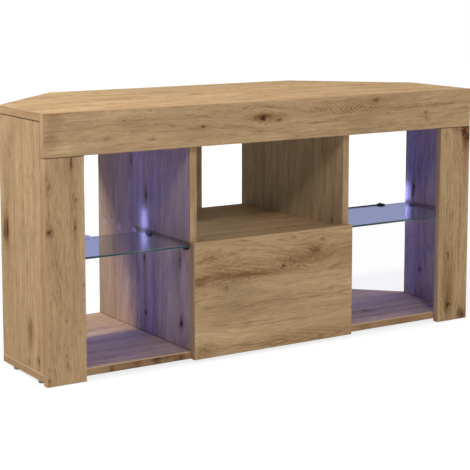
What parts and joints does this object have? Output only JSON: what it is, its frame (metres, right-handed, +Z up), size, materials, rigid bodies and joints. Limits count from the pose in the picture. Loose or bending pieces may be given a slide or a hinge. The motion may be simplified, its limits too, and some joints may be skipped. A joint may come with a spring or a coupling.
{
  "type": "corner tv cabinet",
  "caption": "Low open TV cabinet for a room corner, with slanted back flanks, glass side shelves, a centre shelf and a drawer below it.",
  "frame": {"origin": "middle of the footprint, on the floor plane that the glides stand on", "axes": "+X along the front to the viewer's right, +Y from the fascia to the back edge, +Z up"},
  "size_m": [1, 0.395, 0.5],
  "materials": {
    "oak_board": "satin oak foil on chipboard",
    "drawer_board": "matt pale melamine",
    "fibreboard": "hard fibreboard",
    "runner_steel": "zinc plated",
    "roller_plastic": "smooth",
    "shelf_glass": "clear, ground edges",
    "dark_plastic": "moulded, fine grain",
    "glide_plastic": "moulded, fine grain",
    "pale_plastic": "moulded, smooth, milky",
    "lead_sheath": "matt sheath",
    "screw_steel": "zinc plated",
    "cap_plastic": "matt"
  },
  "bodies": {
    "cabinet": {"top_board": "oak_board", "bottom_board": "oak_board", "left_end_panel": "oak_board", "right_end_panel": "oak_board", "left_divider": "oak_board", "right_divider": "oak_board", "centre_shelf": "oak_board", "fascia_board": "oak_board", "left_leg_board": "oak_board", "right_leg_board": "oak_board", "back_stile": "oak_board", "left_cabinet_rail": "runner_steel", "right_cabinet_rail": "runner_steel", "left_glass_shelf": "shelf_glass", "right_glass_shelf": "shelf_glass", "left_outer_front_ledge": "dark_plastic", "left_outer_back_ledge": "dark_plastic", "left_inner_front_ledge": "dark_plastic", "left_inner_back_ledge": "dark_plastic", "right_outer_front_ledge": "dark_plastic", "right_outer_back_ledge": "dark_plastic", "right_inner_front_ledge": "dark_plastic", "right_inner_back_ledge": "dark_plastic", "left_front_glide": "glide_plastic", "left_middle_glide": "glide_plastic", "left_inner_glide": "glide_plastic", "left_back_glide": "glide_plastic", "right_front_glide": "glide_plastic", "right_middle_glide": "glide_plastic", "right_inner_glide": "glide_plastic", "right_back_glide": "glide_plastic", "left_light_clip": "pale_plastic", "right_light_clip": "dark_plastic", "left_light_lead": "lead_sheath", "right_light_lead": "lead_sheath", "light_driver_box": "dark_plastic", "left_shelf_screw_1": "screw_steel", "left_shelf_screw_2": "screw_steel", "left_shelf_screw_3": "screw_steel", "right_shelf_screw_1": "screw_steel", "right_shelf_screw_2": "screw_steel", "right_shelf_screw_3": "screw_steel", "left_screw_cap_1": "cap_plastic", "left_screw_cap_2": "cap_plastic", "left_screw_cap_3": "cap_plastic", "right_screw_cap_1": "cap_plastic", "right_screw_cap_2": "cap_plastic", "right_screw_cap_3": "cap_plastic"},
    "drawer": {"drawer_front": "oak_board", "drawer_left_side": "drawer_board", "drawer_right_side": "drawer_board", "drawer_back": "drawer_board", "drawer_bottom": "fibreboard", "drawer_left_rail": "runner_steel", "drawer_right_rail": "runner_steel"},
    "left_cabinet_roller_body": {"left_cabinet_roller": "roller_plastic"},
    "left_drawer_roller_body": {"left_drawer_roller": "roller_plastic"},
    "right_cabinet_roller_body": {"right_cabinet_roller": "roller_plastic"},
    "right_drawer_roller_body": {"right_drawer_roller": "roller_plastic"}
  },
  "joints": [
    {"name": "drawer_slide", "type": "slide", "parent": "cabinet", "child": "drawer", "axis": [0, -1, 0], "range_m": [0, 0.22]},
    {"name": "left_cabinet_roller_spin", "type": "hinge", "parent": "cabinet", "child": "left_cabinet_roller_body", "pos_m": [-0.1686, -0.1675, 0.0501], "axis": [1, 0, 0], "range_deg": [-20, 1720]},
    {"name": "left_drawer_roller_spin", "type": "hinge", "parent": "drawer", "child": "left_drawer_roller_body", "pos_m": [-0.1686, 0.1085, 0.0501], "axis": [1, 0, 0], "range_deg": [-20, 1720]},
    {"name": "right_cabinet_roller_spin", "type": "hinge", "parent": "cabinet", "child": "right_cabinet_roller_body", "pos_m": [0.1686, -0.1675, 0.0501], "axis": [1, 0, 0], "range_deg": [-20, 1720]},
    {"name": "right_drawer_roller_spin", "type": "hinge", "parent": "drawer", "child": "right_drawer_roller_body", "pos_m": [0.1686, 0.1085, 0.0501], "axis": [1, 0, 0], "range_deg": [-20, 1720]}
  ],
  "couplings": [
    {"joint": "left_cabinet_roller_spin", "follows": "drawer_slide", "rad_per_m": 133.33},
    {"joint": "left_drawer_roller_spin", "follows": "drawer_slide", "rad_per_m": 133.33},
    {"joint": "right_cabinet_roller_spin", "follows": "drawer_slide", "rad_per_m": 133.33},
    {"joint": "right_drawer_roller_spin", "follows": "drawer_slide", "rad_per_m": 133.33}
  ]
}
